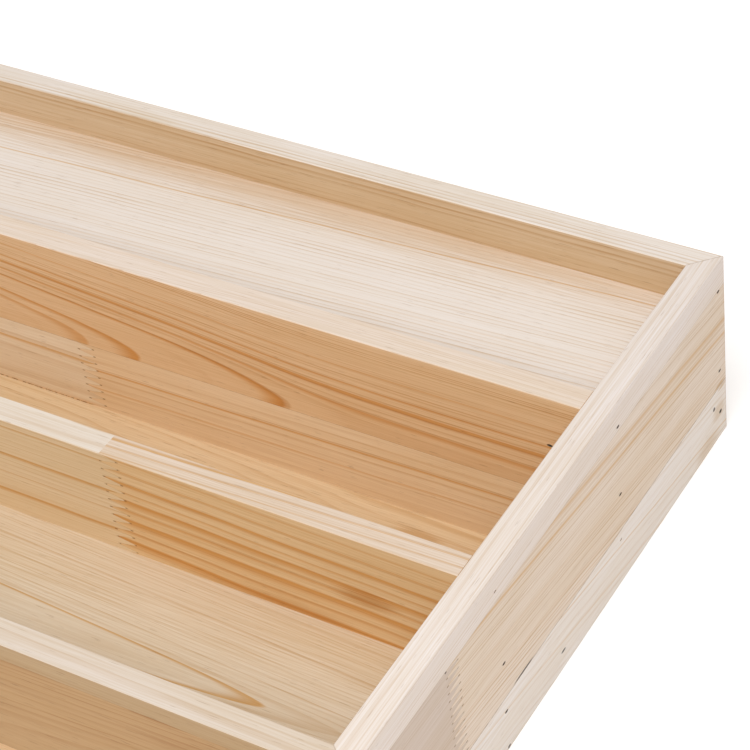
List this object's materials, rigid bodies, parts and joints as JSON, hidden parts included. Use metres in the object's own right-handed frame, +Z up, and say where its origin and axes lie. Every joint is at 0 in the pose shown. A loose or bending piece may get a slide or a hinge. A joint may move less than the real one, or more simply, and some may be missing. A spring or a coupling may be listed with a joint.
{
  "type": "beehive",
  "caption": "Open-topped pine hive body with flush partitions, a shallow tray bay, a deep bay, a half-depth bay and turning entrance discs on one end.",
  "frame": {"origin": "centre of the flat underside of the box", "axes": "+X along the bays to the right end wall, +Y to the back wall beside the shallow tray, +Z up out of the open top"},
  "size_m": [0.7643, 0.4754, 0.148],
  "materials": {
    "pine": "bare planed",
    "brad_steel": "dull",
    "screw_steel": "zinc plated",
    "zinc_sheet": "galvanised"
  },
  "bodies": {
    "box": {"back_wall_lower_stave": "pine", "back_wall_upper_stave": "pine", "front_wall_lower_stave": "pine", "front_wall_middle_stave": "pine", "front_wall_top_lath": "pine", "left_wall_lower_stave": "pine", "left_wall_middle_stave": "pine", "left_wall_top_lath": "pine", "right_wall_lower_stave": "pine", "right_wall_middle_stave_front": "pine", "right_wall_middle_stave_rear": "pine", "right_wall_top_lath": "pine", "rear_partition_upper_stave": "pine", "rear_partition_lower_stave_left": "pine", "rear_partition_lower_stave_right": "pine", "front_partition_upper_stave_left": "pine", "front_partition_upper_stave_right": "pine", "front_partition_lower_stave": "pine", "rear_bay_tray_board": "pine", "front_bay_floor_board": "pine", "bottom_board_rear": "pine", "bottom_board_middle": "pine", "bottom_board_front": "pine", "corner_brads": "brad_steel", "partition_brads": "brad_steel", "board_brads": "brad_steel", "bottom_brads": "brad_steel", "pivot_screw_middle_bay": "screw_steel", "pivot_screw_front_bay": "screw_steel"},
    "middle_bay_disc": {"entrance_disc_middle_bay": "zinc_sheet"},
    "front_bay_disc": {"entrance_disc_front_bay": "zinc_sheet"}
  },
  "joints": [
    {"name": "middle_bay_disc_turn", "type": "hinge", "parent": "box", "child": "middle_bay_disc", "pos_m": [-0.38, 0.003, 0.0365], "axis": [-1, 0, 0], "continuous": true},
    {"name": "front_bay_disc_turn", "type": "hinge", "parent": "box", "child": "front_bay_disc", "pos_m": [-0.38, -0.15125, 0.0935], "axis": [-1, 0, 0], "continuous": true}
  ]
}
